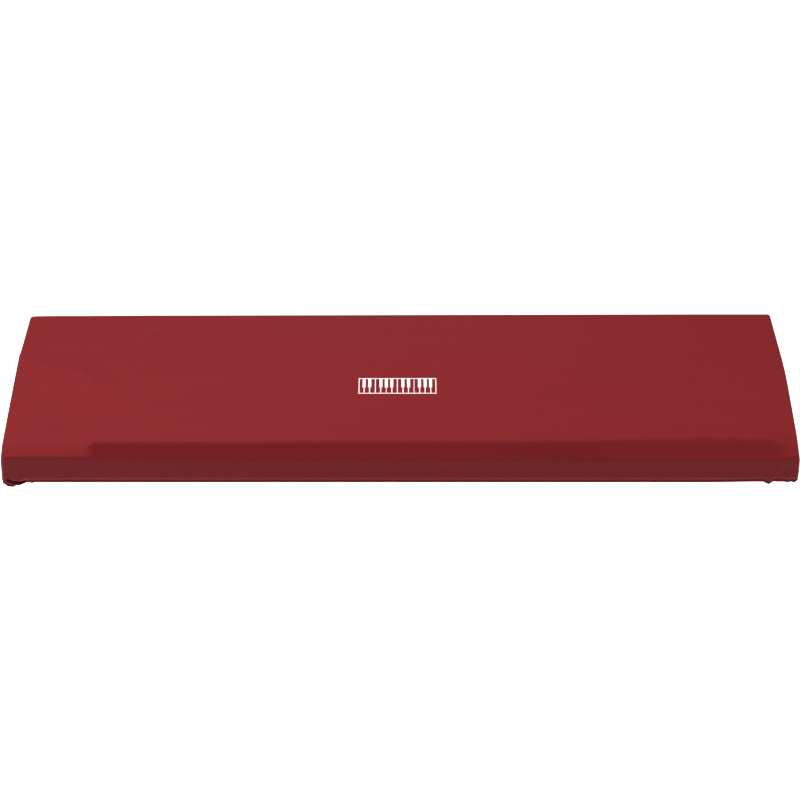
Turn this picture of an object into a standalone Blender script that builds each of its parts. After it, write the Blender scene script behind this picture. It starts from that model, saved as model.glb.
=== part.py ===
"""Keyboard dust cover, as it lies stretched over a stage piano with 88 keys.

The cover is one blank of stretch cloth with four corner seams, hollow and open underneath, and its hem
is turned under the instrument. The instrument is left out, so its keys, panel and end blocks show only
as the heights that hold the cloth up. X runs along the keys, -Y is the player's side and Z is up, with
the origin under the middle of the cover, level with the lowest fold of the hem. Sizes are in metres.
"""

import bpy
import numpy as np

# The cover's length and depth along its top edges, its cloth, and the hem's line above the lowest fold.
LENGTH = 1.289
DEPTH = 0.344
CLOTH = 0.0015
HEM_LIFT = 0.0107

# The rolls from the top into the walls and from the walls into the hem, as radii, and the wall's corners.
EDGE_ROLL = 0.0030
HEM_ROLL = 0.0028
CORNER_ROLL = 0.0056

# The hem's width, its rounder inner corners, and how far its inner edge lies above its fold.
HEM_WIDTH = 0.028
HEM_CORNER = 0.040
HEM_RISE = 0.0015

# How far the end walls lean out at the bottom, where the hem's corners bunch up under the end blocks.
END_FLARE = 0.0036

# The treble end wall bulges a little near its upper front corner.
BULGE, BULGE_DOWN, BULGE_WIDTH = 0.0018, 0.25, 0.30

# The heights that hold the cloth up between the end blocks, from front to back, as straight lines.
KEYS_PROFILE = (
    # at_y, height, slope
    (-0.1725, 0.0560, 1.640),
    (-0.1560, 0.0830, 0.155),
    (0.0500, 0.1125, 0.008),
    (0.1720, 0.1120, -0.080),
)
KEYS_SOFTNESS = 0.0016

# How much gentler the front bend is at the treble end than in the middle, and where that sets in.
TREBLE_EASE = 0.30
TREBLE_FROM, TREBLE_TO = 0.16, 0.48

# The same over the end blocks, which are lower at the front.
END_PROFILE = (
    # at_y, height, slope
    (-0.1720, 0.0622, 0.620),
    (-0.1510, 0.0775, 0.220),
    (0.0500, 0.1105, 0.006),
)
END_SOFTNESS = 0.0032

# Over the bass end block the cloth falls from a crest, where a lever holds it up, to the block's front edge.
CREST = (
    # x, y
    (-0.6445, 0.0480),
    (-0.6385, 0.0464),
    (-0.6147, 0.0346),
    (-0.5826, 0.0228),
    (-0.5507, 0.0228),
    (-0.5335, 0.0185),
    (-0.5181, 0.0038),
    (-0.5080, -0.0150),
)
CREST_HEIGHT, CREST_FALL = 0.1130, 0.0140
BLOCK_EDGE_Y, BLOCK_EDGE_HEIGHT = -0.1500, 0.0750
FRONT_SOFTNESS, CREST_SOFTNESS = 0.0012, 0.0006

# How much higher the cloth's back edge lies at the treble end than in the middle.
BACK_TILT = 0.0018

# Where the cloth steps down off the key tops on to what the corners of the hem press down.
STEPS = (
    # side, outer_x, lean, front_width, widening, widest
    (-1, -0.515, -0.10, 0.026, 0.25, 0.10),
    (1, 0.640, 0.00, 0.040, 1.50, 0.16),
)
STEP_FRONT_Y = -0.1560

# How far in from the end walls the ridge and the swells fade out.
RIM_FADE = 0.030

# Where the cloth catches on a knob: steep behind, gentle in front.
RIDGES = (
    # x, y, half_length, behind, in_front, height, turn
    (-0.430, 0.1130, 0.017, 0.008, 0.020, 0.0036, 0.06),
)

# Long shallow swells of the taut cloth, along the keys.
SWELLS = (
    # x, y, half_length, width, height
    (-0.100, 0.118, 0.260, 0.016, -0.0006),
    (-0.050, 0.060, 0.300, 0.022, 0.0006),
    (0.050, -0.085, 0.330, 0.018, 0.0005),
)

# Where the gathered hem hangs below its own line, and how much of that shows at the wall's lower edge.
HEM_DROPS = (
    # x, y, reach, drop, at_edge
    (-0.6340, -0.1710, 0.0085, 0.01158, 0.97),
    (-0.6190, -0.1720, 0.0095, 0.0062, 0.90),
    (-0.5985, -0.1720, 0.0040, 0.0030, 0.90),
    (0.5993, -0.1720, 0.0045, 0.0056, 0.95),
    (0.6311, -0.1720, 0.0045, 0.0018, 0.90),
    (0.6421, -0.1700, 0.0050, 0.0026, 0.90),
    (-0.6450, 0.1600, 0.0160, 0.0040, 0.70),
    (0.6450, 0.1600, 0.0160, 0.0040, 0.70),
)

# Gathers at the corners: how far they reach, and their pitch and depth along the wall's lower edge.
GATHER_REACH = 0.075
GATHER_PITCH = 0.026
GATHER_DEPTH = 0.0016

# The hem's rings, from its fold to its inner edge: share of its width, and share of the drop there.
HEM_RINGS = (
    # tuck, sag
    (0.45, 1.00),
    (1.00, 0.60),
)

# Turns of each roll's rings, and how far down the wall its rings lie.
ROLL_TURNS = (np.pi / 4, np.pi / 2)
WALL_RINGS = (0.25, 0.60, 1.00)

# How the slope at the top's rim is measured, and the steepest that the roll carries on.
SLOPE_STEP = 0.001
STEEPEST = 2.4

# Runs of grid lines: where each run ends and how many steps it has.
FIRST_COLUMN = -LENGTH / 2 + EDGE_ROLL
COLUMN_RUNS = (
    # ends_at, steps
    (-0.6250, 4),
    (-0.6050, 4),
    (-0.5930, 3),
    (-0.5507, 2),
    (-0.5181, 3),
    (-0.4860, 3),
    (-0.4570, 1),
    (-0.4150, 3),
    (0.5800, 8),
    (0.6080, 6),
    (0.6315, 2),
    (-FIRST_COLUMN, 3),
)
FIRST_ROW = -DEPTH / 2 + EDGE_ROLL
ROW_RUNS = (
    # ends_at, steps
    (-0.1640, 1),
    (-0.1570, 3),
    (-0.1450, 1),
    (-0.1150, 2),
    (-0.0100, 3),
    (0.0500, 8),
    (0.1000, 2),
    (0.1240, 3),
    (0.1440, 1),
    (0.1600, 1),
    (-FIRST_ROW, 2),
)


def clear_scene():
    for item in list(bpy.data.objects):
        bpy.data.objects.remove(item, do_unlink=True)


def runs(first, table):
    """Grid lines from a first place through runs of even steps."""
    places = [first]
    for ends_at, steps in table:
        places += list(np.linspace(places[-1], ends_at, steps + 1)[1:])
    return np.array(places)


def lowest_of(lines, softness):
    """The lowest of some heights with its bends rounded: -k ln(sum of exp(-height / k))."""
    lowest = lines.min(axis=0)
    return lowest - softness * np.log(np.exp((lowest - lines) / softness).sum(axis=0))


def taut(y, profile, softness, front_slope=1.0):
    """Height of taut cloth over straight supports, each height + slope (y - at_y).

    The first slope may be made gentler from place to place.
    """
    lines = [height + slope * (y - at_y) for at_y, height, slope in profile]
    at_y, height, slope = profile[0]
    lines[0] = height + slope * front_slope * (y - at_y)
    return lowest_of(np.array(lines), softness)


def ease(t):
    """Goes from 0 to 1 as t does, level at both ends."""
    t = np.clip(t, 0.0, 1.0)
    return t * t * (3.0 - 2.0 * t)


def end_share(x, y):
    """How far the cloth has stepped down from the key tops to the end blocks, from 0 to 1."""
    share = np.zeros_like(x)
    for side, outer_x, lean, front_width, widening, widest in STEPS:
        back = y - STEP_FRONT_Y
        width = np.minimum(front_width + widening * np.maximum(back, 0.0), widest)
        share += ease(1.0 + side * (x - outer_x - lean * back) / width)
    return share


def block_height(x, y):
    """The cloth over the bass end block: a ruled face from its front edge up to the crest.

    Behind the crest the cloth falls by exp(-distance / fall) to the back panel's level.
    """
    crest_x, crest_y = np.array(CREST).T
    at = np.interp(x, crest_x, crest_y)
    rise = (CREST_HEIGHT - BLOCK_EDGE_HEIGHT) / (at - BLOCK_EDGE_Y)
    edge_y, edge_height, edge_slope = END_PROFILE[0]
    back_y, back_height, back_slope = END_PROFILE[-1]
    lip = edge_height + edge_slope * (y - edge_y)
    face = BLOCK_EDGE_HEIGHT + rise * (y - BLOCK_EDGE_Y)
    level = back_height + back_slope * (y - back_y)
    behind = level + (CREST_HEIGHT - level) * np.exp(-np.maximum((y - at) / CREST_FALL, -3.0))
    face = lowest_of(np.array([lip, face]), FRONT_SOFTNESS)
    return lowest_of(np.array([face, behind]), CREST_SOFTNESS)


def ridge_height(x, y):
    """Ridges: height exp(-d / w) across, with one w behind and one in front, and a bell along."""
    height = np.zeros_like(x)
    for at_x, at_y, half_length, behind, in_front, rise, turn in RIDGES:
        along = (x - at_x) * np.cos(turn) + (y - at_y) * np.sin(turn)
        across = (y - at_y) * np.cos(turn) - (x - at_x) * np.sin(turn)
        width = np.where(across > 0, behind, in_front)
        height += rise * np.exp(-np.abs(across) / width - (along / half_length) ** 2)
    return height


def swell_height(x, y):
    """Long shallow swells, each a bell across and along its line."""
    height = np.zeros_like(x)
    for at_x, at_y, half_length, width, rise in SWELLS:
        height += rise * np.exp(-(((x - at_x) / half_length) ** 2) - ((y - at_y) / width) ** 2)
    return height


def top_height(x, y):
    """Height of the cloth's outer face over the instrument."""
    treble = ease((x - TREBLE_FROM) / (TREBLE_TO - TREBLE_FROM))
    keys = taut(y, KEYS_PROFILE, KEYS_SOFTNESS, 1.0 - TREBLE_EASE * treble)
    ends = np.where(x < 0.0, block_height(x, y), taut(y, END_PROFILE, END_SOFTNESS))
    rim = ease((LENGTH / 2 - np.abs(x)) / RIM_FADE)
    tilt = BACK_TILT * x / (LENGTH / 2) * ease((y + DEPTH / 4) / (DEPTH / 2))
    return keys + (ends - keys) * end_share(x, y) + rim * (ridge_height(x, y) + swell_height(x, y)) + tilt


def round_corners(x, y, half_x, half_y, radius):
    """Moves the points of a rectangle's four corner squares into quarter circles."""
    over_x = np.maximum(np.abs(x) - (half_x - radius), 0.0)
    over_y = np.maximum(np.abs(y) - (half_y - radius), 0.0)
    shrink = np.maximum(over_x, over_y) / np.maximum(np.hypot(over_x, over_y), 1e-9)
    shrink = np.where((over_x > 0) & (over_y > 0), shrink, 1.0)
    new_x = np.where(over_x > 0, np.sign(x) * (half_x - radius + over_x * shrink), x)
    new_y = np.where(over_y > 0, np.sign(y) * (half_y - radius + over_y * shrink), y)
    return new_x, new_y


def outline(x, y, half_x, half_y, radius):
    """The top's rim carried on to a larger or smaller rectangle with round corners.

    The rim is stretched to that rectangle, then each point moves to the nearest place on its round
    corners. The outward directions there come with the points.
    """
    x, y = x * half_x / -FIRST_COLUMN, y * half_y / -FIRST_ROW
    core_x = np.clip(x, radius - half_x, half_x - radius)
    core_y = np.clip(y, radius - half_y, half_y - radius)
    away_x, away_y = x - core_x, y - core_y
    length = np.hypot(away_x, away_y)
    away_x, away_y = away_x / length, away_y / length
    return core_x + radius * away_x, core_y + radius * away_y, away_x, away_y


def gather(x, y):
    """How strongly the hem is gathered: 1 at a corner, 0 beyond the reach of its gathers."""
    from_corner = np.hypot(np.abs(x) - LENGTH / 2, np.abs(y) - DEPTH / 2)
    return ease(1.0 - from_corner / GATHER_REACH)


def hem_drops(x, y):
    """How far the hem and the wall's lower edge hang below their line: a bell for each drop."""
    at_hem, at_wall = np.zeros_like(x), np.zeros_like(x)
    for at_x, at_y, reach, depth, at_edge in HEM_DROPS:
        bell = depth * np.exp(-((np.hypot(x - at_x, y - at_y) / reach) ** 2))
        at_hem = np.maximum(at_hem, bell)
        at_wall = np.maximum(at_wall, bell * at_edge)
    return at_hem, at_wall


def roll_rings(rim_x, rim_y):
    """The top's rim and the quarter roll below it, which carries on the top's own slope.

    A point that is o outside the rim has fallen s o (1 - o / 2r) + r - sqrt(r^2 - o^2), for slope s.
    """
    half_x, half_y, radius = -FIRST_COLUMN, -FIRST_ROW, CORNER_ROLL - EDGE_ROLL
    x, y, away_x, away_y = outline(rim_x, rim_y, half_x, half_y, radius)
    rim_z = top_height(x, y)
    inner_z = top_height(x - SLOPE_STEP * away_x, y - SLOPE_STEP * away_y)
    slope = np.clip((inner_z - rim_z) / SLOPE_STEP, 0.0, STEEPEST)
    rings = []
    for turn in ROLL_TURNS:
        out = EDGE_ROLL * np.sin(turn)
        x, y, _, _ = outline(rim_x, rim_y, half_x + out, half_y + out, radius + out)
        fall = slope * out * (1 - out / (2 * EDGE_ROLL)) + EDGE_ROLL * (1 - np.cos(turn))
        rings.append((x, y, rim_z - fall))
    return rings


def wall_and_hem_rings(rim_x, rim_y, roll_z):
    """The wall, which flares at the ends, the roll under it, and the hem turned in below.

    Each ring is a rectangle with round corners. Gathers push it in and out near the corners.
    """
    wall_x, wall_y, side_x, _ = outline(rim_x, rim_y, LENGTH / 2, DEPTH / 2, CORNER_ROLL)
    bulge = BULGE * ease(side_x) * ease((DEPTH / 2 - wall_y) / DEPTH)
    round_rim = np.abs(np.abs(wall_x) - LENGTH / 2) + np.abs(np.abs(wall_y) - DEPTH / 2)
    wave = GATHER_DEPTH * gather(wall_x, wall_y) * np.cos(2 * np.pi * round_rim / GATHER_PITCH)
    at_hem, at_wall = hem_drops(wall_x * (1 + 2 * END_FLARE / LENGTH), wall_y)
    low_z = HEM_LIFT - at_wall
    stages = []
    for down in WALL_RINGS:
        flare = END_FLARE * (1.0 - (1.0 - down) ** 4)
        flare = flare + bulge * np.exp(-(((down - BULGE_DOWN) / BULGE_WIDTH) ** 2))
        z = roll_z + (low_z + HEM_ROLL - roll_z) * down
        stages.append((flare, 0.0, CORNER_ROLL, down, z))
    for turn in ROLL_TURNS:
        inset = HEM_ROLL * (1 - np.cos(turn))
        z = low_z + HEM_ROLL * (1 - np.sin(turn))
        stages.append((END_FLARE - inset, -inset, CORNER_ROLL, 1.0, z))
    for tuck, sag in HEM_RINGS:
        inset = HEM_ROLL + (HEM_WIDTH - HEM_ROLL) * tuck
        corner = CORNER_ROLL + (HEM_CORNER - CORNER_ROLL) * tuck
        z = HEM_LIFT + HEM_RISE * tuck - sag * at_hem + np.abs(wave) * tuck
        stages.append((END_FLARE - inset, -inset, corner, 1.0 - tuck, z))
    rings = []
    for out_x, out_y, corner, waved, z in stages:
        x, y, away_x, away_y = outline(rim_x, rim_y, LENGTH / 2 + out_x, DEPTH / 2 + out_y, corner)
        push = waved * np.minimum(wave, 0.0)
        rings.append((x + push * away_x, y + push * away_y, z))
    return rings


def cover_sheet():
    """Points and faces of the cloth's outer face: a grid over the top and rings down from its rim."""
    columns, rows = runs(FIRST_COLUMN, COLUMN_RUNS), runs(FIRST_ROW, ROW_RUNS)
    wide, deep = len(columns), len(rows)
    flat_x, flat_y = np.meshgrid(columns, rows, indexing="ij")
    x, y = round_corners(flat_x, flat_y, -FIRST_COLUMN, -FIRST_ROW, CORNER_ROLL - EDGE_ROLL)
    points = [np.stack([x, y, top_height(x, y)], axis=-1).reshape(-1, 3)]
    index = np.arange(wide * deep).reshape(wide, deep)
    quads = [np.stack([index[:-1, :-1], index[1:, :-1], index[1:, 1:], index[:-1, 1:]], axis=-1)]
    rim = np.concatenate([index[:-1, 0], index[-1, :-1], index[:0:-1, -1], index[0, :0:-1]])
    rim_x, rim_y = flat_x.reshape(-1)[rim], flat_y.reshape(-1)[rim]
    rings = roll_rings(rim_x, rim_y)
    rings += wall_and_hem_rings(rim_x, rim_y, rings[-1][2])
    above = rim
    for number, ring in enumerate(rings):
        points.append(np.stack(ring, axis=-1))
        below = wide * deep + number * len(rim) + np.arange(len(rim))
        quads.append(np.stack([above, below, np.roll(below, -1), np.roll(above, -1)], axis=-1))
        above = below
    return np.concatenate(points), np.concatenate([quad.reshape(-1, 4) for quad in quads])


def cloth_material():
    """Dark red knitted stretch cloth, dull with a faint sheen."""
    cloth = bpy.data.materials.new("stretch_cloth")
    cloth.use_nodes = True
    shader = cloth.node_tree.nodes["Principled BSDF"]
    shader.inputs["Base Color"].default_value = (0.275, 0.022, 0.026, 1.0)
    shader.inputs["Roughness"].default_value = 0.85
    shader.inputs["Metallic"].default_value = 0.0
    shader.inputs["Sheen Weight"].default_value = 0.15
    return cloth


def build_cover():
    points, quads = cover_sheet()
    mesh = bpy.data.meshes.new("cover")
    mesh.from_pydata(points.tolist(), [], quads.tolist())
    mesh.materials.append(cloth_material())
    mesh.shade_smooth()
    cover = bpy.data.objects.new("cover", mesh)
    bpy.context.scene.collection.objects.link(cover)
    wall = cover.modifiers.new("cloth", "SOLIDIFY")
    wall.thickness = CLOTH
    wall.offset = -1.0
    wall.use_even_offset = True
    wall.use_rim = True
    return cover


clear_scene()
build_cover()
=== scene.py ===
"""Fitted stretch dust cover that lies taut over a stage piano: cloth, seams, hem stitches and print.

Lengths are in metres. X runs along the keys, -Y is the player's side and Z is up.
"""

import bpy
import numpy as np
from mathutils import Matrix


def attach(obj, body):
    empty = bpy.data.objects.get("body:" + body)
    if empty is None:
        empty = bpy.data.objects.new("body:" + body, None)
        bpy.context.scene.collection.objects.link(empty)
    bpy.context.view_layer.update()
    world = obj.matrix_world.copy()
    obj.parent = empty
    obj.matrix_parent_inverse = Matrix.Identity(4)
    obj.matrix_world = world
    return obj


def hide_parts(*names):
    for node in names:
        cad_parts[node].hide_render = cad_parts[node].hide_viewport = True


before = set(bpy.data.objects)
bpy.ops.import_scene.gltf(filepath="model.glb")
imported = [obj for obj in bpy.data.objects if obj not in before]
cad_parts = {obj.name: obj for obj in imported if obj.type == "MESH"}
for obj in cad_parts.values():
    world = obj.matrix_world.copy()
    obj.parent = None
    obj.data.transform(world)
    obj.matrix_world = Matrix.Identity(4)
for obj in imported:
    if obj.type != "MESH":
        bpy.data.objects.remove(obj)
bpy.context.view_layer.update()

# The cover's length and depth along its top edges, and the thickness of its cloth.
LENGTH = 1.289
DEPTH = 0.344
HALF_LENGTH, HALF_DEPTH = LENGTH / 2, DEPTH / 2
CLOTH = 0.0011

# The height of the hem's line above the level of its lowest folds, and its rise at the treble end.
HEM_LIFT = 0.0094
TREBLE_LIFT, LIFT_FROM, LIFT_TO = 0.0013, 0.50, 0.58

# Radii of the rolls from the top into the walls and from there into the hem, and of the walls' corners.
EDGE_ROLL = 0.0030
HEM_ROLL = 0.0026
CORNER_ROLL = 0.0056

# Half sizes of the flat rectangle inside the top's roll, which carries the top's grid.
TOP_HALF_X, TOP_HALF_Y = HALF_LENGTH - EDGE_ROLL, HALF_DEPTH - EDGE_ROLL

# The hem's width, its rounder inner corners, how far its inner edge lies above its fold, and the share
# of a drop in the fold that is lost by that edge.
HEM_WIDTH = 0.028
HEM_CORNER = 0.040
HEM_RISE = 0.0015
DROP_LOSS = 0.4

# How far the end walls lean out at the bottom, where the hem's corners bunch up under the end blocks.
END_FLARE = 0.0038

# The heights that hold the cloth up between the end blocks, from front to back, as straight lines.
KEYS_PROFILE = (
    # at_y, height, slope
    (-0.1725, 0.0560, 1.640),
    (-0.1560, 0.0830, 0.155),
    (0.0500, 0.1125, 0.008),
    (0.1720, 0.1120, -0.080),
)
KEYS_SOFTNESS = 0.0016

# How much gentler the front bend is at the treble end than in the middle, and where that sets in.
TREBLE_EASE = 0.30
TREBLE_FROM, TREBLE_TO = 0.16, 0.48

# The same heights over the end blocks, which are lower at the front.
END_PROFILE = (
    # at_y, height, slope
    (-0.1720, 0.0622, 0.620),
    (-0.1510, 0.0775, 0.220),
    (0.0500, 0.1105, 0.006),
)
END_SOFTNESS = 0.0032

# Over the bass end block the cloth falls from a crest, where a lever holds it up, to the block's front
# edge. The crest runs along this line.
CREST = (
    # x, y
    (-0.6445, 0.0480),
    (-0.6385, 0.0464),
    (-0.6216, 0.0370),
    (-0.6050, 0.0270),
    (-0.5930, 0.0150),
    (-0.5840, 0.0050),
    (-0.5750, 0.0030),
    (-0.5600, 0.0045),
    (-0.5440, 0.0040),
    (-0.5320, -0.0020),
    (-0.5230, -0.0120),
    (-0.5130, -0.0280),
)

# The crest's height, how soon the cloth has fallen behind it, how many times as far that curve may be
# carried on in front of it, and how far along the keys its line alone steers the ruled face.
CREST_HEIGHT = 0.1136
CREST_FALL, CREST_LEAD = 0.0130, 3.0
CREST_TURN_X = -0.540

# The lever's lift: its place and reach along the crest, its height, and how soon it fades down the face.
LEVER_X, LEVER_REACH = -0.576, 0.032
LEVER_RISE, LEVER_SLOPE = 0.0034, 0.0110

# The block's front edge, and how soft that edge and the crest are.
BLOCK_EDGE_Y, BLOCK_EDGE_HEIGHT = -0.1500, 0.0750
FRONT_SOFTNESS, CREST_SOFTNESS = 0.0012, 0.0004

# How much higher the cloth's back edge lies at the treble end than in the middle.
BACK_TILT = 0.0018

# The cloth droops a little towards the bass end wall.
DROOP, DROOP_REACH = 0.0016, 0.0100

# Where the cloth steps down from the key tops to the end blocks, at the bass and the treble end.
STEPS = (
    # side, outer_x, lean, front_width, widening, widest
    (-1, -0.515, -0.10, 0.026, 0.25, 0.10),
    (1, 0.640, 0.00, 0.040, 1.50, 0.16),
)
STEP_FRONT_Y = -0.1560

# How far in from the end walls the ridges and swells fade out.
RIM_FADE = 0.030

# Where the cloth catches on a knob: a little steeper behind than in front.
RIDGES = (
    # x, y, half_length, behind, in_front, height, turn
    (-0.430, 0.1080, 0.018, 0.016, 0.020, 0.0060, 0.06),
)
RIDGE_ROUND = 0.0026

# Small hollows in the taut cloth.
HOLLOWS = (
    # x, y, half_length, width, depth
    (-0.511, -0.0530, 0.009, 0.007, 0.0014),
    (-0.230, 0.1220, 0.030, 0.010, 0.0004),
)

# Long shallow swells of the taut cloth, along the keys.
SWELLS = (
    # x, y, half_length, width, height
    (-0.100, 0.1180, 0.260, 0.016, -0.0006),
    (-0.050, 0.0600, 0.300, 0.022, 0.0006),
    (0.050, -0.0850, 0.330, 0.018, 0.0003),
    (0.120, -0.1030, 0.160, 0.008, -0.0003),
    (-0.270, -0.0820, 0.070, 0.007, -0.00025),
    (-0.080, 0.0380, 0.060, 0.008, -0.0003),
    (0.520, -0.1395, 0.065, 0.0060, 0.0006),
)

# Where the gathered hem hangs below its own line, and how much of that shows at the wall's lower edge.
HEM_DROPS = (
    # x, y, reach, drop, at_edge
    (-0.6450, -0.1690, 0.0060, 0.0052, 1.00),
    (-0.6390, -0.1710, 0.0062, 0.0098, 1.00),
    (-0.6344, -0.1720, 0.0062, 0.0106, 1.00),
    (-0.6248, -0.1720, 0.0108, 0.0064, 1.00),
    (-0.6020, -0.1720, 0.0024, 0.0022, 1.00),
    (0.6004, -0.1720, 0.0033, 0.0048, 1.00),
    (0.6027, -0.1720, 0.0033, 0.0048, 1.00),
    (0.6336, -0.1720, 0.0036, 0.0022, 1.00),
    (0.6442, -0.1700, 0.0040, 0.0018, 1.00),
    (-0.6450, 0.1600, 0.0160, 0.0040, 0.70),
    (0.6450, 0.1600, 0.0160, 0.0040, 0.70),
)

# Gathers at the corners: how far they reach, and their pitch and depth along the wall's lower edge.
GATHER_REACH = 0.075
GATHER_PITCH = 0.026
GATHER_DEPTH = 0.0012

# The elastic hem's small waves all round.
HEM_PITCH = 0.021
HEM_WAVE = 0.0005

# The wall draws in a little at half height, and the long walls again just above the hem's thick edge.
WALL_HOLLOW = 0.0004
GROOVE_DEPTH, GROOVE_ABOVE, GROOVE_WIDTH = 0.0022, 0.0048, 0.0036

# The treble end wall bulges a little near its upper front corner.
BULGE, BULGE_DOWN, BULGE_WIDTH = 0.0010, 0.25, 0.30

# Folds in the front wall near its lower corners, as lines from point to point across it.
WALL_FOLDS = (
    # points (x, z), width, out
    (
        ((-0.6390, 0.0136), (-0.6300, 0.0100), (-0.6170, 0.0078), (-0.6105, 0.0092)),
        0.0019,
        -0.0068,
    ),
    (((-0.6380, 0.0280), (-0.6395, 0.0160)), 0.0020, -0.0011),
    (((-0.6400, 0.0680), (-0.6410, 0.0190)), 0.0018, 0.0007),
    (((0.6447, 0.0680), (0.6447, 0.0190)), 0.0016, 0.0007),
    (((0.6165, 0.0430), (0.6140, 0.0345), (0.6095, 0.0285), (0.6065, 0.0200)), 0.0018, 0.0009),
    (((0.6230, 0.0360), (0.6190, 0.0200)), 0.0055, -0.0010),
)

# Corner seams: a groove between two low lips with small puckers, which sets in below the top's roll.
SEAM_WIDTH, SEAM_DEPTH = 0.0008, 0.0009
LIP_OFFSET, LIP_WIDTH, LIP_HEIGHT = 0.0028, 0.0014, 0.0005
PUCKER_PITCH, PUCKER = 0.0070, 0.00025
SEAM_START = 0.010

# Steps across each roll, and rings down the wall: wide ones above, narrow ones in its lowest part.
ROLL_STEPS = 5
HIGH_RINGS, LOW_RINGS, LOW_HEIGHT = 6, 13, 0.016

# Rings across the hem, as shares of its width.
HEM_TUCKS = (0.06, 0.16, 0.32, 0.52, 0.76, 1.0)

# The top's slope at its rim is measured over this step, up to the steepest that the roll can carry on.
SLOPE_STEP = 0.001
STEEPEST = 2.4

# Runs of the top's grid lines: where each run ends and how many steps it has. They are closest where
# the cloth folds.
COLUMN_RUNS = (
    # ends_at, steps
    (-0.6375, 5),
    (-0.5980, 26),
    (-0.4000, 49),
    (0.5800, 130),
    (0.5950, 5),
    (0.6070, 12),
    (0.6375, 20),
    (TOP_HALF_X, 5),
)
ROW_RUNS = (
    # ends_at, steps
    (-0.1650, 5),
    (-0.1400, 11),
    (-0.0200, 20),
    (0.0500, 24),
    (0.0950, 9),
    (0.1350, 14),
    (0.1650, 6),
    (TOP_HALF_Y, 5),
)


def runs(first, table):
    """Grid lines from a first place through runs of even steps."""
    places = [first]
    for ends_at, steps in table:
        places += list(np.linspace(places[-1], ends_at, steps + 1)[1:])
    return np.array(places)


def ease(t):
    """Goes from 0 to 1 as t does, level at both ends."""
    t = np.clip(t, 0.0, 1.0)
    return t * t * (3.0 - 2.0 * t)


def lowest_of(lines, softness):
    """The lowest of some lines with its bends rounded: -k ln(sum of exp(-line / k))."""
    lowest = lines.min(axis=0)
    return lowest - softness * np.log(np.exp((lowest - lines) / softness).sum(axis=0))


def taut(y, profile, softness, front_slope=1.0):
    """Height of taut cloth over straight supports, each height + slope (y - at_y)."""
    lines = [height + slope * (y - at_y) for at_y, height, slope in profile]
    at_y, height, slope = profile[0]
    lines[0] = height + slope * front_slope * (y - at_y)
    return lowest_of(np.array(lines), softness)


def end_share(x, y):
    """How far the cloth has stepped down from the key tops to the end blocks, from 0 to 1.

    A step eases in over a width that grows with the distance behind the front bend.
    """
    share = np.zeros_like(x)
    for side, outer_x, lean, front_width, widening, widest in STEPS:
        back = y - STEP_FRONT_Y
        width = np.minimum(front_width + widening * np.maximum(back, 0.0), widest)
        share += ease(1.0 + side * (x - outer_x - lean * back) / width)
    return share


def block_height(x, y):
    """The bass end block's cloth: a ruled face from its front edge to the crest, and a fall behind it.

    The face rises by (crest height - edge height) / (crest y - edge y). Behind the crest the cloth
    nears its level as exp(-distance / fall). The lever's lift is a bell along the keys.
    """
    crest_x, crest_y = np.array(CREST).T
    at = np.interp(x, crest_x, crest_y)
    ruled_to = (at + np.interp(np.minimum(x, CREST_TURN_X), crest_x, crest_y)) / 2
    rise = (CREST_HEIGHT - BLOCK_EDGE_HEIGHT) / (ruled_to - BLOCK_EDGE_Y)
    edge_y, edge_height, edge_slope = END_PROFILE[0]
    back_y, back_height, back_slope = END_PROFILE[-1]
    lip = edge_height + edge_slope * (y - edge_y)
    lift = LEVER_RISE * np.exp(-(((x - LEVER_X) / LEVER_REACH) ** 2))
    face = BLOCK_EDGE_HEIGHT + rise * (y - BLOCK_EDGE_Y)
    face += lift * np.exp(np.minimum(y - at, 0.0) / LEVER_SLOPE)
    level = back_height + back_slope * (y - back_y)
    fallen = np.exp(-np.maximum((y - at) / CREST_FALL, -CREST_LEAD))
    behind = level + (CREST_HEIGHT + lift - level) * fallen
    face = lowest_of(np.array([lip, face]), FRONT_SOFTNESS)
    return lowest_of(np.array([face, behind]), CREST_SOFTNESS)


def ridge_height(x, y):
    """Ridges: height exp(-r / w) across, r = sqrt(d^2 + a^2) - a, one w behind and one in front."""
    total = np.zeros_like(x)
    for at_x, at_y, half_length, behind, in_front, height, turn in RIDGES:
        along = (x - at_x) * np.cos(turn) + (y - at_y) * np.sin(turn)
        across = (y - at_y) * np.cos(turn) - (x - at_x) * np.sin(turn)
        width = np.where(across > 0, behind, in_front)
        away = np.sqrt(across**2 + RIDGE_ROUND**2) - RIDGE_ROUND
        total += height * np.exp(-away / width - (along / half_length) ** 2)
    return total


def swell_height(x, y):
    """Swells less hollows, each height exp(-(x / half length)^2 - (y / width)^2) about its middle."""
    total = np.zeros_like(x)
    for sign, table in ((1.0, SWELLS), (-1.0, HOLLOWS)):
        for at_x, at_y, half_length, width, height in table:
            bell = np.exp(-(((x - at_x) / half_length) ** 2) - ((y - at_y) / width) ** 2)
            total += sign * height * bell
    return total


def top_height(x, y):
    """Height of the cloth's outer face: the key tops' eased into the end blocks', plus the folds."""
    treble = ease((x - TREBLE_FROM) / (TREBLE_TO - TREBLE_FROM))
    keys = taut(y, KEYS_PROFILE, KEYS_SOFTNESS, 1.0 - TREBLE_EASE * treble)
    ends = np.where(x < 0.0, block_height(x, y), taut(y, END_PROFILE, END_SOFTNESS))
    rim = ease((HALF_LENGTH - np.abs(x)) / RIM_FADE)
    tilt = BACK_TILT * x / HALF_LENGTH * ease((y + HALF_DEPTH / 2) / HALF_DEPTH)
    small = rim * (ridge_height(x, y) + swell_height(x, y))
    droop = DROOP * np.exp(-(HALF_LENGTH + x) / DROOP_REACH)
    return keys + (ends - keys) * end_share(x, y) + small + tilt - droop


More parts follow.
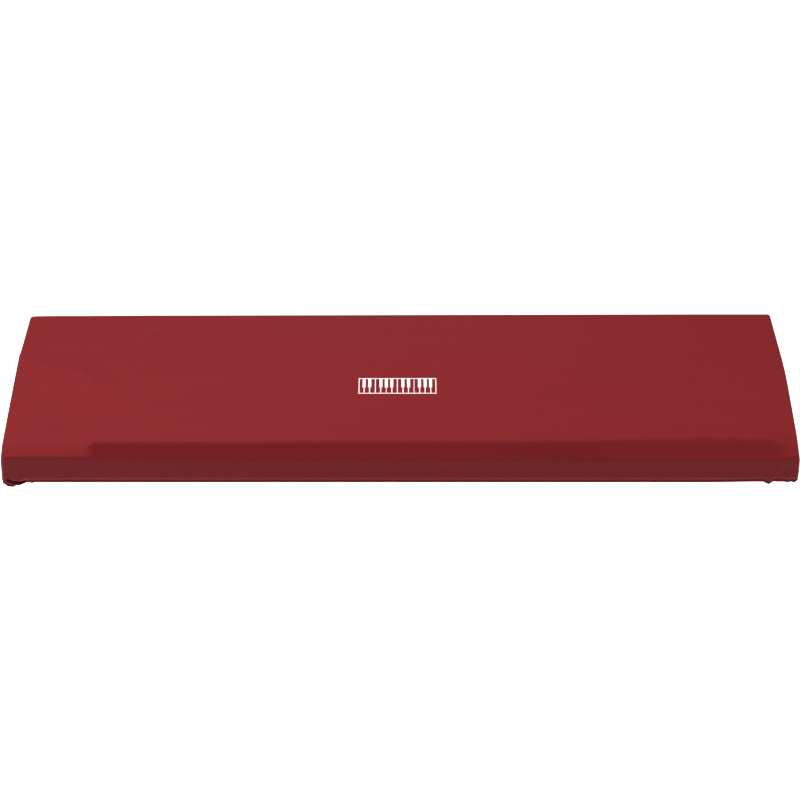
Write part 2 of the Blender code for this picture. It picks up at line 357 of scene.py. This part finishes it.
def round_corners(x, y, half_x, half_y, radius):
    """Moves the points of a rectangle's four corner squares into quarter circles.

    A point a and b outside the core shrinks towards it by max(a, b) / sqrt(a^2 + b^2).
    """
    over_x = np.maximum(np.abs(x) - (half_x - radius), 0.0)
    over_y = np.maximum(np.abs(y) - (half_y - radius), 0.0)
    shrink = np.maximum(over_x, over_y) / np.maximum(np.hypot(over_x, over_y), 1e-9)
    shrink = np.where((over_x > 0) & (over_y > 0), shrink, 1.0)
    new_x = np.where(over_x > 0, np.sign(x) * (half_x - radius + over_x * shrink), x)
    new_y = np.where(over_y > 0, np.sign(y) * (half_y - radius + over_y * shrink), y)
    return new_x, new_y


def outline(x, y, half_x, half_y, radius):
    """The top's rim stretched to a rectangle with round corners, and the outward directions there."""
    x, y = x * half_x / TOP_HALF_X, y * half_y / TOP_HALF_Y
    core_x = np.clip(x, radius - half_x, half_x - radius)
    core_y = np.clip(y, radius - half_y, half_y - radius)
    away_x, away_y = x - core_x, y - core_y
    length = np.hypot(away_x, away_y)
    away_x, away_y = away_x / length, away_y / length
    return core_x + radius * away_x, core_y + radius * away_y, away_x, away_y


def hem_drops(x, y):
    """How far the hem and the wall's lower edge hang below their line: the deepest of the drops' bells."""
    at_hem, at_wall = np.zeros_like(x), np.zeros_like(x)
    for at_x, at_y, reach, depth, at_edge in HEM_DROPS:
        bell = depth * np.exp(-((np.hypot(x - at_x, y - at_y) / reach) ** 2))
        at_hem = np.maximum(at_hem, bell)
        at_wall = np.maximum(at_wall, bell * at_edge)
    return at_hem, at_wall


def distance_to(x, z, points):
    """Distance from places on the front wall to the nearest point of a line through points."""
    nearest = np.full_like(x, np.inf)
    for (ax, az), (bx, bz) in zip(points[:-1], points[1:]):
        dx, dz = bx - ax, bz - az
        t = np.clip(((x - ax) * dx + (z - az) * dz) / (dx * dx + dz * dz), 0.0, 1.0)
        nearest = np.minimum(nearest, np.hypot(x - ax - t * dx, z - az - t * dz))
    return nearest


class Rim:
    """What the rings need to know about each point round the cover's rim, as arrays along it."""

    def __init__(self, rim_x, rim_y):
        self.rim_x, self.rim_y = rim_x, rim_y
        around = outline(rim_x, rim_y, HALF_LENGTH, HALF_DEPTH, CORNER_ROLL)
        self.x, self.y, self.away_x, self.away_y = around
        side_x, side_y = np.abs(np.abs(self.x) - HALF_LENGTH), np.abs(np.abs(self.y) - HALF_DEPTH)
        self.from_corner = side_x + side_y
        self.gather = ease(1.0 - np.hypot(side_x, side_y) / GATHER_REACH)
        self.at_hem, at_wall = hem_drops(self.x * (1 + END_FLARE / HALF_LENGTH), self.y)
        self.line = HEM_LIFT + TREBLE_LIFT * ease((self.x - LIFT_FROM) / (LIFT_TO - LIFT_FROM))
        self.low = self.line - at_wall
        turn = np.arctan2(np.abs(self.away_y), np.abs(self.away_x)) - np.pi / 4
        self.from_seam = np.abs(turn) * CORNER_ROLL
        step = np.hypot(self.x - np.roll(self.x, 1), self.y - np.roll(self.y, 1))
        self.along = np.cumsum(step)
        self.round = self.along[-1]


def seam_push(rim, z):
    """Across a corner seam: a groove, a lip on each side of it, and puckers along the lips."""
    groove = np.exp(-((rim.from_seam / SEAM_WIDTH) ** 2))
    lip = np.exp(-(((rim.from_seam - LIP_OFFSET) / LIP_WIDTH) ** 2))
    return LIP_HEIGHT * lip - SEAM_DEPTH * groove + PUCKER * lip * np.cos(2 * np.pi * z / PUCKER_PITCH)


def wall_push(rim, x, z, down):
    """How far the wall stands out from its rectangle at height z.

    It draws in at half height and above the hem's edge, and waves at the corners, more so lower down.
    A fold pushes it by out exp(-(distance / width)^2).
    """
    front = ease(-rim.away_y)
    push = -WALL_HOLLOW * np.sin(np.pi * np.clip(down, 0.0, 1.0)) ** 2
    groove = np.exp(-(((z - rim.low - GROOVE_ABOVE) / GROOVE_WIDTH) ** 2))
    push = push - GROOVE_DEPTH * ease(np.abs(rim.away_y)) * groove
    treble = ease(rim.away_x) * ease((HALF_DEPTH - rim.y) / DEPTH)
    push = push + BULGE * treble * np.exp(-(((down - BULGE_DOWN) / BULGE_WIDTH) ** 2))
    wave = np.cos(2 * np.pi * rim.from_corner / GATHER_PITCH)
    push = push + GATHER_DEPTH * rim.gather * np.minimum(wave, 0.0) * ease(down)
    for points, width, out in WALL_FOLDS:
        push = push + front * out * np.exp(-((distance_to(x, z, points) / width) ** 2))
    return push


def roll_rings(rim):
    """The quarter roll below the top's rim, which carries on the top's own slope.

    A point that is o outside the rim has fallen s o (1 - o / 2r) + r - sqrt(r^2 - o^2), for slope s.
    """
    radius = CORNER_ROLL - EDGE_ROLL
    x, y, away_x, away_y = outline(rim.rim_x, rim.rim_y, TOP_HALF_X, TOP_HALF_Y, radius)
    rim_z = top_height(x, y)
    inner_z = top_height(x - SLOPE_STEP * away_x, y - SLOPE_STEP * away_y)
    slope = np.clip((inner_z - rim_z) / SLOPE_STEP, 0.0, STEEPEST)
    rings = []
    for turn in np.linspace(0.0, np.pi / 2, ROLL_STEPS + 1)[1:]:
        out = EDGE_ROLL * np.sin(turn)
        x, y, _, _ = outline(rim.rim_x, rim.rim_y, TOP_HALF_X + out, TOP_HALF_Y + out, radius + out)
        fall = slope * out * (1 - out / (2 * EDGE_ROLL)) + EDGE_ROLL * (1 - np.cos(turn))
        rings.append((x, y, rim_z - fall))
    return rings


def wall_rings(rim, roll_z):
    """Rings down the wall and round the roll under it: rectangles with round corners, plus the push.

    The end walls stand out by flare (1 - (1 - down)^2), where down goes from 0 to 1 down the wall.
    """
    foot = rim.low + HEM_ROLL
    fall = foot + LOW_HEIGHT - roll_z
    stages = [(0.0, roll_z + fall * k / HIGH_RINGS) for k in range(1, HIGH_RINGS + 1)]
    stages += [(0.0, foot + LOW_HEIGHT * (1 - k / LOW_RINGS)) for k in range(1, LOW_RINGS + 1)]
    for turn in np.linspace(0.0, np.pi / 2, ROLL_STEPS + 1)[1:]:
        stages.append((HEM_ROLL * (1 - np.cos(turn)), rim.low + HEM_ROLL * (1 - np.sin(turn))))
    rings = []
    for inset, z in stages:
        down = np.clip((roll_z - z) / (roll_z - foot), 0.0, 1.0)
        flare = END_FLARE * (1.0 - (1.0 - down) ** 2)
        x, y = flared(rim, flare, inset, CORNER_ROLL)
        push = wall_push(rim, x, z, down) + seam_push(rim, z) * ease((roll_z - z) / SEAM_START)
        rings.append((x + push * rim.away_x, y + push * rim.away_y, z))
    return rings


def flared(rim, flare, inset, radius):
    """The ring whose end walls stand out by a flare that may differ from point to point."""
    x, y, _, _ = outline(rim.rim_x, rim.rim_y, HALF_LENGTH - inset, HALF_DEPTH - inset, radius)
    return x * (1 + flare / HALF_LENGTH), y


def hem_rings(rim, tucks):
    """Rings from the roll's foot in to the hem's edge, at the hem's line plus its rise and its waves.

    The waves are |cos| of the distance from the corner, for the gathers, and cos round the whole hem.
    """
    pitch = rim.round / round(rim.round / HEM_PITCH)
    gathers = GATHER_DEPTH * rim.gather * np.abs(np.cos(2 * np.pi * rim.from_corner / GATHER_PITCH))
    waves = gathers + HEM_WAVE * np.cos(2 * np.pi * rim.along / pitch)
    rings = []
    for tuck in tucks:
        inset = HEM_ROLL + (HEM_WIDTH - HEM_ROLL) * tuck
        corner = CORNER_ROLL + (HEM_CORNER - CORNER_ROLL) * tuck
        x, y = flared(rim, END_FLARE, inset, corner)
        drop = (1.0 - DROP_LOSS * tuck) * rim.at_hem
        rings.append((x, y, rim.line + HEM_RISE * tuck - drop + waves * ease(tuck)))
    return rings


def grid_quads(index):
    """The four corners of each cell of a grid of point numbers, turned to face upwards."""
    corners = [index[:-1, :-1], index[1:, :-1], index[1:, 1:], index[:-1, 1:]]
    return np.stack(corners, axis=-1)


def piece(name, points, faces, material, uvs=None):
    """A smooth mesh object at the origin, with its cloth coordinates in metres where given."""
    mesh = bpy.data.meshes.new(name)
    mesh.from_pydata(points.tolist(), [], faces.tolist())
    mesh.materials.append(material)
    if uvs is not None:
        mesh.uv_layers.new(name="cloth").data.foreach_set("uv", uvs.reshape(-1))
    mesh.shade_smooth()
    item = bpy.data.objects.new(name, mesh)
    bpy.context.scene.collection.objects.link(item)
    return item


def cover_sheet():
    """The cloth's outer face: a grid over the top and rings down from its rim, with cloth coordinates.

    On the top the coordinates are x and y. Down a wall they go on outwards by the cloth's length there.
    """
    columns, rows = runs(-TOP_HALF_X, COLUMN_RUNS), runs(-TOP_HALF_Y, ROW_RUNS)
    wide, deep = len(columns), len(rows)
    flat_x, flat_y = np.meshgrid(columns, rows, indexing="ij")
    x, y = round_corners(flat_x, flat_y, TOP_HALF_X, TOP_HALF_Y, CORNER_ROLL - EDGE_ROLL)
    top = np.stack([x, y, top_height(x, y)], axis=-1).reshape(-1, 3)
    index = np.arange(wide * deep).reshape(wide, deep)
    quads = grid_quads(index).reshape(-1, 4)
    edge = np.concatenate([index[:-1, 0], index[-1, :-1], index[:0:-1, -1], index[0, :0:-1]])
    rim = Rim(flat_x.reshape(-1)[edge], flat_y.reshape(-1)[edge])
    rings = roll_rings(rim)
    rings += wall_rings(rim, rings[-1][2])
    rings += hem_rings(rim, HEM_TUCKS)
    rings = np.array([np.stack(ring, axis=-1) for ring in rings])
    layers = np.concatenate([top[edge][None], rings])
    outward = np.cumsum(np.linalg.norm(np.diff(layers, axis=0), axis=-1), axis=0)
    outward = np.concatenate([np.zeros((1, len(edge))), outward])
    ring_numbers = wide * deep + np.arange(rings[..., 0].size).reshape(len(rings), -1)
    numbers = np.concatenate([edge[None], ring_numbers])
    around = np.roll(numbers, -1, axis=1)
    sides = np.stack([numbers[:-1], numbers[1:], around[1:], around[:-1]], axis=-1).reshape(-1, 4)
    points = np.concatenate([top, rings.reshape(-1, 3)])
    uvs = np.concatenate([top[quads][..., :2], side_coordinates(points, sides, outward)])
    return points, np.concatenate([quads, sides]), uvs, rim


def side_coordinates(points, sides, outward):
    """Cloth coordinates of the wall faces: along the wall, and outwards by the length down it."""
    beside = np.roll(outward, -1, axis=1)
    down = np.stack([outward[:-1], outward[1:], beside[1:], beside[:-1]], axis=-1).reshape(-1, 4)
    corners = points[sides]
    middle = corners.mean(axis=1)
    over_x = np.abs(middle[:, 0]) - HALF_LENGTH
    over_y = np.abs(middle[:, 1]) - HALF_DEPTH
    on_end = (over_x > over_y)[:, None]
    sign_x, sign_y = np.sign(middle[:, 0])[:, None], np.sign(middle[:, 1])[:, None]
    u = np.where(on_end, sign_x * (TOP_HALF_X + down), corners[..., 0])
    v = np.where(on_end, corners[..., 1], sign_y * (TOP_HALF_Y + down))
    return np.stack([u, v], axis=-1)


def linear(code):
    """A colour given as sRGB hex, in linear values."""
    value = np.array([int(code[i : i + 2], 16) for i in (1, 3, 5)]) / 255
    value = np.where(value <= 0.04045, value / 12.92, ((value + 0.055) / 1.055) ** 2.4)
    return (*value.tolist(), 1.0)


def add(tree, kind, settings=None, inputs=None):
    """A node with its settings, and its inputs set to values or linked to (node, output) pairs."""
    node = tree.nodes.new(kind)
    for name, value in (settings or {}).items():
        setattr(node, name, value)
    for name, value in (inputs or {}).items():
        if isinstance(value, tuple) and len(value) == 2 and isinstance(value[0], bpy.types.Node):
            tree.links.new(value[0].outputs[value[1]], node.inputs[name])
        else:
            node.inputs[name].default_value = value
    return node


def new_material(name):
    """An empty material and its node tree."""
    material = bpy.data.materials.new(name)
    material.use_nodes = True
    material.node_tree.nodes.clear()
    return material, material.node_tree


# Polyester and elastane, circular-knitted in fine loops, dyed dark red and stretched. The smooth
# filament gives it a low reddish lustre, and its wales and courses catch the light close by: a relief,
# with painted shade low between the loops and painted light on their tops. A real loop is about 0.5 mm
# wide, too fine to show, so the loops are drawn more than twice as coarse.
WALE = 0.0012
COURSE = 0.0010
LOOP_SLANT, WALE_RISE = 1.3, 1.4
# The loops' relief, then the painted shade low between the loops and the painted light on their tops, as
# factors on the colour.
LOOP_BUMP, LOOP_PAINTED_SHADE, LOOP_PAINTED_LIGHT = 0.0003, 0.90, 1.06

# Uneven dye, as long streaks along the cloth and a fine heather: spots a metre, and strength of shade.
STREAK_SCALE, STREAK_SHADE = 5.0, 0.16
STREAK_STRETCH = (1.0, 14.0, 14.0)
HEATHER_SCALE, HEATHER_SHADE = 900.0, 0.12


def stretch_knit():
    """Knitted cloth. A zigzag across the wales plus one along the slanted courses is its height.

    Its tone is (1 + a (streaks - 1/2)) (1 + b (heather - 1/2)), times a painted shade that is darker low
    between the loops and a painted highlight on their tops.
    """
    material, tree = new_material("stretch_knit_polyester")
    divide, zigzag = {"operation": "DIVIDE"}, {"operation": "PINGPONG"}
    times, times_plus = {"operation": "MULTIPLY"}, {"operation": "MULTIPLY_ADD"}
    place = add(tree, "ShaderNodeUVMap", {"uv_map": "cloth"})
    parts = add(tree, "ShaderNodeSeparateXYZ", None, {0: (place, 0)})
    wales = add(tree, "ShaderNodeMath", divide, {0: (parts, 0), 1: WALE})
    across = add(tree, "ShaderNodeMath", zigzag, {0: (wales, 0), 1: 0.5})
    courses = add(tree, "ShaderNodeMath", divide, {0: (parts, 1), 1: COURSE})
    slanted = add(tree, "ShaderNodeMath", times_plus, {0: (across, 0), 1: LOOP_SLANT, 2: (courses, 0)})
    loops = add(tree, "ShaderNodeMath", zigzag, {0: (slanted, 0), 1: 0.5})
    height = add(tree, "ShaderNodeMath", times_plus, {0: (across, 0), 1: WALE_RISE, 2: (loops, 0)})
    solid = add(tree, "ShaderNodeTexCoord")
    heather = {"Vector": (solid, 3), "Scale": HEATHER_SCALE, "Detail": 2.0}
    heather = add(tree, "ShaderNodeTexNoise", None, heather)
    stretched = add(tree, "ShaderNodeMapping", None, {0: (solid, 3), "Scale": STREAK_STRETCH})
    streaks = {"Vector": (stretched, 0), "Scale": STREAK_SCALE, "Detail": 4.0}
    streaks = add(tree, "ShaderNodeTexNoise", None, streaks)
    shade = {0: (streaks, 0), 1: STREAK_SHADE, 2: 1.0 - STREAK_SHADE / 2}
    shade = add(tree, "ShaderNodeMath", times_plus, shade)
    fine = {0: (heather, 0), 1: HEATHER_SHADE, 2: 1.0 - HEATHER_SHADE / 2}
    fine = add(tree, "ShaderNodeMath", times_plus, fine)
    both = add(tree, "ShaderNodeMath", times, {0: (shade, 0), 1: (fine, 0)})
    # Painted shade low between the loops and painted light on their tops, on top of the dye's tone.
    loop_painted_light_and_shade = {0: (height, 0), 1: 0.0, 2: 1.2, 3: LOOP_PAINTED_SHADE, 4: LOOP_PAINTED_LIGHT}
    loop_painted_light_and_shade = add(tree, "ShaderNodeMapRange", None, loop_painted_light_and_shade)
    value = add(tree, "ShaderNodeMath", times, {0: (both, 0), 1: (loop_painted_light_and_shade, 0)})
    colour = {"Value": (value, 0), "Color": linear("#6C1E21")}
    colour = add(tree, "ShaderNodeHueSaturation", None, colour)
    relief = {"Strength": 0.35, "Distance": LOOP_BUMP, "Height": (height, 0)}
    relief = add(tree, "ShaderNodeBump", None, relief)
    shader = add(
        tree,
        "ShaderNodeBsdfPrincipled",
        None,
        {
            "Base Color": (colour, 0),
            "Roughness": 0.57,
            "Specular IOR Level": 0.26,
            "Specular Tint": linear("#FF5C60"),
            "Normal": (relief, 0),
        },
    )
    add(tree, "ShaderNodeOutputMaterial", None, {0: (shader, 0)})
    return material


def screen_ink():
    """Plastisol ink, screen-printed in white: matt, slightly uneven where the knit shows through."""
    material, tree = new_material("screen_printed_ink")
    solid = add(tree, "ShaderNodeTexCoord")
    grain = {"Vector": (solid, 3), "Scale": 700.0, "Detail": 2.0}
    grain = add(tree, "ShaderNodeTexNoise", None, grain)
    tone = {0: (grain, 0), 6: linear("#E6DCDA"), 7: linear("#F4EEEC")}
    tone = add(tree, "ShaderNodeMix", {"data_type": "RGBA"}, tone)
    relief = {"Strength": 0.2, "Distance": 0.0002, "Height": (grain, 0)}
    relief = add(tree, "ShaderNodeBump", None, relief)
    ink = {"Base Color": (tone, 2), "Roughness": 0.55, "Normal": (relief, 0)}
    shader = add(tree, "ShaderNodeBsdfPrincipled", None, ink)
    add(tree, "ShaderNodeOutputMaterial", None, {0: (shader, 0)})
    return material


def sewing_thread():
    """Spun polyester thread in the cloth's red, a little lighter and shinier than the knit."""
    material, tree = new_material("polyester_thread")
    solid = add(tree, "ShaderNodeTexCoord")
    twist = {"Vector": (solid, 3), "Scale": 2500.0, "Detail": 1.0}
    twist = add(tree, "ShaderNodeTexNoise", None, twist)
    tone = {0: (twist, 0), 6: linear("#8A2B30"), 7: linear("#A8434A")}
    tone = add(tree, "ShaderNodeMix", {"data_type": "RGBA"}, tone)
    thread = {"Base Color": (tone, 2), "Roughness": 0.6, "Sheen Weight": 0.1}
    shader = add(tree, "ShaderNodeBsdfPrincipled", None, thread)
    add(tree, "ShaderNodeOutputMaterial", None, {0: (shader, 0)})
    return material


# The print: a plain row of piano keys in outline, near the middle of the cover's length.
PRINT_X, PRINT_Y = -0.0043, -0.0300
PRINT_CELL = 0.0005
PRINT_KEYS, KEY_PITCH = 14, 0.0092
PRINT_LINE, PRINT_DEPTH = 0.0015, 0.036
SHORT_KEY_WIDTH, SHORT_KEY_DEPTH = 0.0050, 0.0215
PRINT_LIFT = 0.00015

# Which of the gaps between the long keys of an octave hold a short key.
SHORT_KEY_GAPS = (True, True, False, True, True, True, False)


def print_mask(u, v):
    """True where ink lies: the frame round the keys, the lines between them and the short keys."""
    width = PRINT_KEYS * KEY_PITCH
    inside = (u > 0) & (u < width) & (v > 0) & (v < PRINT_DEPTH)
    end_line = (u < PRINT_LINE) | (u > width - PRINT_LINE)
    long_line = (v < PRINT_LINE) | (v > PRINT_DEPTH - PRINT_LINE)
    gap = np.round(u / KEY_PITCH).astype(int)
    to_gap = np.abs(u - gap * KEY_PITCH)
    between = (gap > 0) & (gap < PRINT_KEYS)
    has_short = between & np.array(SHORT_KEY_GAPS)[(gap - 1) % len(SHORT_KEY_GAPS)]
    line = between & (to_gap < PRINT_LINE / 2)
    short = has_short & (to_gap < SHORT_KEY_WIDTH / 2) & (v > PRINT_DEPTH - SHORT_KEY_DEPTH)
    return inside & (end_line | long_line | line | short)


def key_print(material):
    """Ink on the top: the cells of a fine grid that the mask keeps, a lift above the cloth's height."""
    width = PRINT_KEYS * KEY_PITCH
    us = np.arange(0.0, width + PRINT_CELL / 2, PRINT_CELL)
    vs = np.arange(0.0, PRINT_DEPTH + PRINT_CELL / 2, PRINT_CELL)
    u, v = np.meshgrid(us, vs, indexing="ij")
    x, y = PRINT_X - width / 2 + u, PRINT_Y - PRINT_DEPTH / 2 + v
    points = np.stack([x, y, top_height(x, y) + PRINT_LIFT], axis=-1).reshape(-1, 3)
    index = np.arange(u.size).reshape(u.shape)
    keep = print_mask(u[:-1, :-1] + PRINT_CELL / 2, v[:-1, :-1] + PRINT_CELL / 2)
    used, renumbered = np.unique(grid_quads(index)[keep], return_inverse=True)
    return piece("key_print", points[used], renumbered.reshape(-1, 4), material)


# Hem stitching: two rows of straight stitches near the hem's inner edge, sunk a little into the cloth.
STITCH_TUCKS = (0.62, 0.80)
STITCH_PITCH, STITCH_LENGTH = 0.0036, 0.0029
STITCH_RADIUS, STITCH_TIP = 0.00028, 0.03
STITCH_SINK = 0.0001
STITCH_SIDES, STITCH_STEPS = 6, 4


def stitch_row(path):
    """Stitches along a closed path, each a spindle whose radius goes as the root of sin(pi t)."""
    step = np.linalg.norm(np.roll(path, -1, 0) - path, axis=1)
    at = np.concatenate([[0.0], np.cumsum(step)])
    closed = np.concatenate([path, path[:1]])
    count = int(at[-1] / STITCH_PITCH)
    t = np.linspace(0.0, 1.0, STITCH_STEPS + 1)
    places = np.arange(count)[:, None] * (at[-1] / count) + t[None, :] * STITCH_LENGTH
    centre = np.stack([np.interp(places % at[-1], at, closed[:, k]) for k in range(3)], axis=-1)
    ahead = np.gradient(centre, axis=1)
    ahead /= np.linalg.norm(ahead, axis=-1, keepdims=True)
    side = np.cross(ahead, [0.0, 0.0, 1.0])
    side /= np.linalg.norm(side, axis=-1, keepdims=True)
    turn = (np.arange(STITCH_SIDES) / STITCH_SIDES * 2 * np.pi)[None, None, :, None]
    radius = STITCH_RADIUS * np.sqrt(np.maximum(np.sin(np.pi * t), STITCH_TIP))[None, :, None, None]
    up = np.array([0.0, 0.0, 1.0])
    points = centre[:, :, None, :] + radius * (np.cos(turn) * side[:, :, None, :] + np.sin(turn) * up)
    index = np.arange(points[..., 0].size).reshape(points.shape[:-1])
    beside = np.roll(index, -1, axis=2)
    quads = np.stack([index[:, :-1], beside[:, :-1], beside[:, 1:], index[:, 1:]], axis=-1)
    return points.reshape(-1, 3), quads.reshape(-1, 4)


def hem_stitches(rim, material):
    """The rows of stitches, each along a ring of the hem."""
    points, quads, total = [], [], 0
    for x, y, z in hem_rings(rim, STITCH_TUCKS):
        row_points, row_quads = stitch_row(np.stack([x, y, z - STITCH_SINK], axis=-1))
        points.append(row_points)
        quads.append(row_quads + total)
        total += len(row_points)
    return piece("hem_stitches", np.concatenate(points), np.concatenate(quads), material)


def build_cover():
    """The cover's pieces: the cloth with its thickness inwards, the ink and the stitches."""
    points, quads, uvs, rim = cover_sheet()
    cover = piece("cover_cloth", points, quads, stretch_knit(), uvs)
    wall = cover.modifiers.new("cloth", "SOLIDIFY")
    wall.thickness = CLOTH
    wall.offset = -1.0
    wall.use_even_offset = False
    wall.use_rim = True
    ink = key_print(screen_ink())
    stitches = hem_stitches(rim, sewing_thread())
    for item in (cover, ink, stitches):
        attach(item, "root")
    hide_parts("cover")


# The studio: a wide floor far enough below the cover to take no shadow, which glows more from one
# distance to another, and a dim surround.
FLOOR_Z, FLOOR_REACH = -0.60, 80.0
FLOOR_GLOW, FAR_GLOW = 0.80, 0.86
GLOW_FROM, GLOW_TO = 1.0, 2.6
WORLD_STRENGTH = 0.10

# Soft square lamps on a half sphere round the cover, in degrees and watts.
LAMP_DISTANCE, LAMP_SIZE = 2.3, 1.4
LAMP_TARGET = (0.0, 0.0, 0.05)
LAMP_COLOUR = "#FFFAFA"
LAMPS = (
    # name, azimuth (0 in front, 90 on the right), elevation, power
    ("overhead", 0.0, 90.0, 18.0),
    ("right_high", 90.0, 60.0, 29.0),
    ("left_high", 270.0, 60.0, 29.5),
    ("front_left", 315.0, 60.0, 8.0),
    ("left_low", 270.0, 30.0, 14.0),
    ("back_left", 225.0, 60.0, 6.0),
    ("back", 180.0, 30.0, 2.4),
)


def studio():
    """A wide white floor that glows like a light table, more so far off, and the soft light over it."""
    floor_mesh = bpy.data.meshes.new("floor")
    corners = np.array([(-1, -1), (1, -1), (1, 1), (-1, 1)]) * FLOOR_REACH
    floor_mesh.from_pydata([(x, y, FLOOR_Z) for x, y in corners.tolist()], [], [(0, 1, 2, 3)])
    floor_mesh.materials.append(floor_paint())
    floor = bpy.data.objects.new("floor", floor_mesh)
    bpy.context.scene.collection.objects.link(floor)
    world = bpy.data.worlds.new("studio")
    world.use_nodes = True
    world.node_tree.nodes["Background"].inputs["Color"].default_value = (1.0, 1.0, 1.0, 1.0)
    world.node_tree.nodes["Background"].inputs["Strength"].default_value = WORLD_STRENGTH
    bpy.context.scene.world = world
    for name, azimuth, elevation, power in LAMPS:
        lamp(name, np.radians(azimuth), np.radians(elevation), power)


def floor_paint():
    """Matt white paint that glows by the distance from the middle, as a soft step between two glows."""
    material, tree = new_material("painted_studio_floor")
    place = add(tree, "ShaderNodeTexCoord")
    away = add(tree, "ShaderNodeVectorMath", {"operation": "LENGTH"}, {0: (place, 3)})
    step = {0: (away, 1), 1: GLOW_FROM, 2: GLOW_TO, 3: FLOOR_GLOW, 4: FAR_GLOW}
    glow = add(tree, "ShaderNodeMapRange", {"interpolation_type": "SMOOTHSTEP"}, step)
    shader = add(
        tree,
        "ShaderNodeBsdfPrincipled",
        None,
        {
            "Base Color": linear("#F4F4F4"),
            "Roughness": 0.9,
            "Emission Color": (1.0, 1.0, 1.0, 1.0),
            "Emission Strength": (glow, 0),
        },
    )
    add(tree, "ShaderNodeOutputMaterial", None, {0: (shader, 0)})
    return material


def lamp(name, azimuth, elevation, power):
    """A soft square lamp that faces the cover from an azimuth and an elevation, in radians."""
    light = bpy.data.lights.new(name, "AREA")
    light.shape = "RECTANGLE"
    light.size, light.size_y = LAMP_SIZE, LAMP_SIZE
    light.energy = power
    light.color = linear(LAMP_COLOUR)[:3]
    level = np.cos(elevation)
    way = np.array([level * np.sin(azimuth), -level * np.cos(azimuth), np.sin(elevation)])
    item = bpy.data.objects.new(name, light)
    item.location = (LAMP_DISTANCE * way).tolist()
    item.rotation_euler = aim(LAMP_DISTANCE * way, LAMP_TARGET)
    bpy.context.scene.collection.objects.link(item)


def aim(place, target):
    """Turns that point an object's -Z axis from a place to a target, with its Y axis kept upwards."""
    x, y, z = np.array(target, float) - np.array(place, float)
    return (np.arctan2(np.hypot(x, y), -z), 0.0, np.arctan2(-x, y))


# The photograph's view: it looks down by 36 degrees, 3.1 m away from the cover's front edge. The sensor's
# width and the lens are in millimetres.
CAMERA_PLACE, CAMERA_TILT = (0.0, -2.627, 1.9605), 54.0
CAMERA_SENSOR, CAMERA_LENS = 36.0, 86.535


def camera():
    """The camera, tilted up from straight down."""
    data = bpy.data.cameras.new("camera")
    data.sensor_width = CAMERA_SENSOR
    data.lens = CAMERA_LENS
    item = bpy.data.objects.new("camera", data)
    item.location = CAMERA_PLACE
    item.rotation_euler = (np.radians(CAMERA_TILT), 0.0, 0.0)
    bpy.context.scene.collection.objects.link(item)
    bpy.context.scene.camera = item


bpy.context.scene.view_settings.view_transform = "Standard"
camera()
studio()
build_cover()
